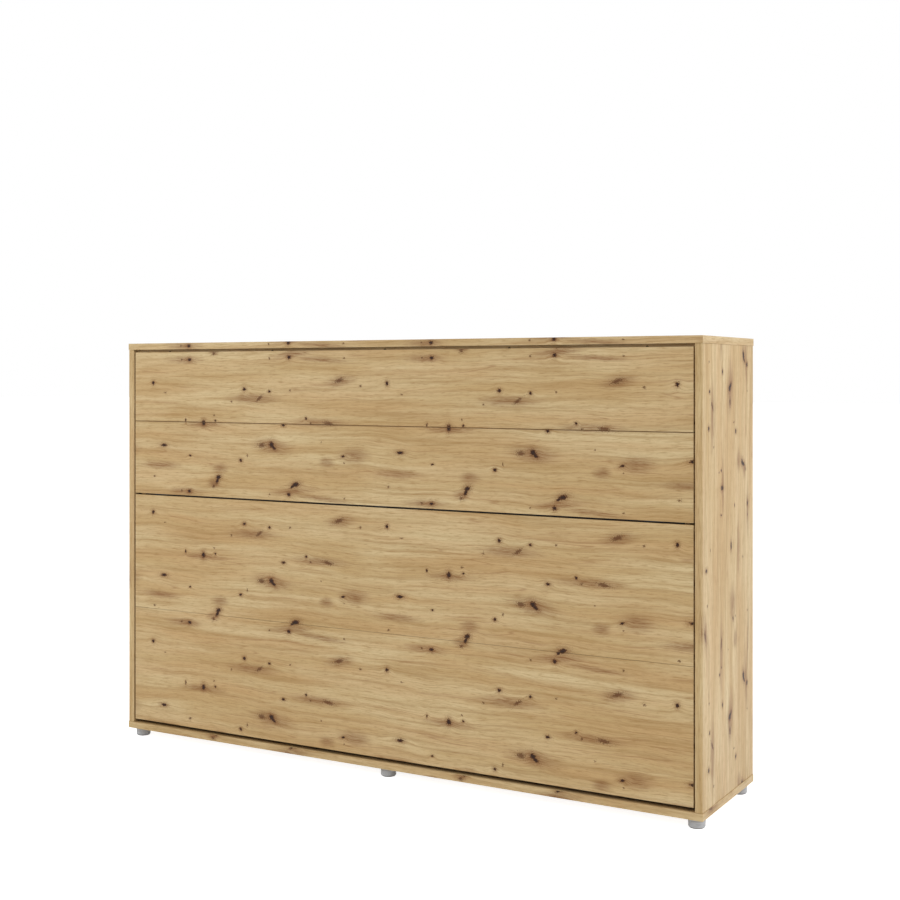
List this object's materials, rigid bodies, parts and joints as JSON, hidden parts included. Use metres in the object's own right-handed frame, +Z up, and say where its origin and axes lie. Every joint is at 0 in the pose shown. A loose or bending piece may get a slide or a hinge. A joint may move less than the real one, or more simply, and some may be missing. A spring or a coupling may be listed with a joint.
{
  "type": "murphy wall bed",
  "caption": "Horizontal murphy wall bed in oak decor, folded into its cabinet, with a fold-out leg flap and gas struts.",
  "frame": {"origin": "on the floor, under the middle of the cabinet's footprint", "axes": "+X along the cabinet's length to the right, +Y towards the wall behind it, +Z up; the front faces -Y"},
  "size_m": [2.129, 0.464, 1.396],
  "materials": {
    "oak": "matte",
    "oak_side": "matte",
    "hardboard": "matte",
    "birch": "satin",
    "grey_plastic": "matte",
    "tube_paint": "satin",
    "zinc": "satin",
    "bronze": "satin",
    "strut_paint": "gloss",
    "rod_chrome": "polished",
    "ticking": "matte",
    "webbing": "matte"
  },
  "bodies": {
    "cabinet": {"left_side_panel": "oak_side", "right_side_panel": "oak_side", "top_panel": "oak", "bottom_panel": "oak", "top_stop_strip": "oak", "back_panel_left": "hardboard", "back_panel_right": "hardboard", "back_joint_profile": "grey_plastic", "upper_back_rail": "oak_side", "lower_back_rail": "oak_side", "left_wall_bracket": "zinc", "right_wall_bracket": "zinc", "foot_front_left": "grey_plastic", "foot_front_middle": "grey_plastic", "foot_front_right": "grey_plastic", "foot_back_left": "grey_plastic", "foot_back_middle": "grey_plastic", "foot_back_right": "grey_plastic", "left_pivot_plate": "zinc", "right_pivot_plate": "zinc", "left_strut_bracket": "zinc", "right_strut_bracket": "zinc"},
    "bed_frame": {"bed_left_board": "oak_side", "bed_right_board": "oak_side", "bed_lower_board": "oak_side", "bed_upper_board": "oak_side", "front_top_strip": "oak", "front_middle_panel": "oak", "front_bottom_panel": "oak", "frame_tube_lower": "tube_paint", "frame_tube_middle": "tube_paint", "frame_tube_hinge": "tube_paint", "frame_tube_upper": "tube_paint", "frame_tube_left": "tube_paint", "frame_tube_right": "tube_paint", "slat_01": "birch", "slat_02": "birch", "slat_03": "birch", "slat_04": "birch", "slat_05": "birch", "slat_06": "birch", "slat_07": "birch", "slat_08": "birch", "slat_09": "birch", "slat_10": "birch", "slat_11": "birch", "slat_12": "birch", "mattress": "ticking", "left_strap": "webbing", "right_strap": "webbing", "left_pivot_socket": "zinc", "right_pivot_socket": "zinc", "leg_hinge_upper_leaf": "bronze", "leg_hinge_pin": "bronze"},
    "leg_flap": {"leg_panel": "oak", "leg_hinge_lower_leaf": "bronze"},
    "left_strut_cylinder": {"left_strut_cylinder": "strut_paint"},
    "right_strut_cylinder": {"right_strut_cylinder": "strut_paint"},
    "left_strut_rod": {"left_strut_rod": "rod_chrome"},
    "right_strut_rod": {"right_strut_rod": "rod_chrome"}
  },
  "joints": [
    {"name": "bed_tilt", "type": "hinge", "parent": "cabinet", "child": "bed_frame", "pos_m": [0, -0.158, 0.328], "axis": [1, 0, 0], "range_deg": [0, 90], "stiffness_Nm_per_rad": 150, "springref_deg": -28.65},
    {"name": "leg_fold", "type": "hinge", "parent": "bed_frame", "child": "leg_flap", "pos_m": [0, -0.228, 1.1217], "axis": [-1, 0, 0], "range_deg": [0, 90]},
    {"name": "left_strut_swing", "type": "hinge", "parent": "cabinet", "child": "left_strut_cylinder", "pos_m": [-1.03025, -0.008, 0.888], "axis": [1, 0, 0], "range_deg": [0, 4.15]},
    {"name": "right_strut_swing", "type": "hinge", "parent": "cabinet", "child": "right_strut_cylinder", "pos_m": [1.03025, -0.008, 0.888], "axis": [1, 0, 0], "range_deg": [0, 4.15]},
    {"name": "left_strut_slide", "type": "slide", "parent": "left_strut_cylinder", "child": "left_strut_rod", "axis": [0, -0.1312, -0.9914], "range_m": [-0.1852, 0]},
    {"name": "right_strut_slide", "type": "slide", "parent": "right_strut_cylinder", "child": "right_strut_rod", "axis": [0, -0.1312, -0.9914], "range_m": [-0.1852, 0]}
  ],
  "couplings": [
    {"joint": "left_strut_swing", "follows": "bed_tilt", "ratio": 0.04562},
    {"joint": "right_strut_swing", "follows": "bed_tilt", "ratio": 0.04562},
    {"joint": "left_strut_slide", "follows": "bed_tilt", "m_per_rad": -0.11779},
    {"joint": "right_strut_slide", "follows": "bed_tilt", "m_per_rad": -0.11779}
  ]
}
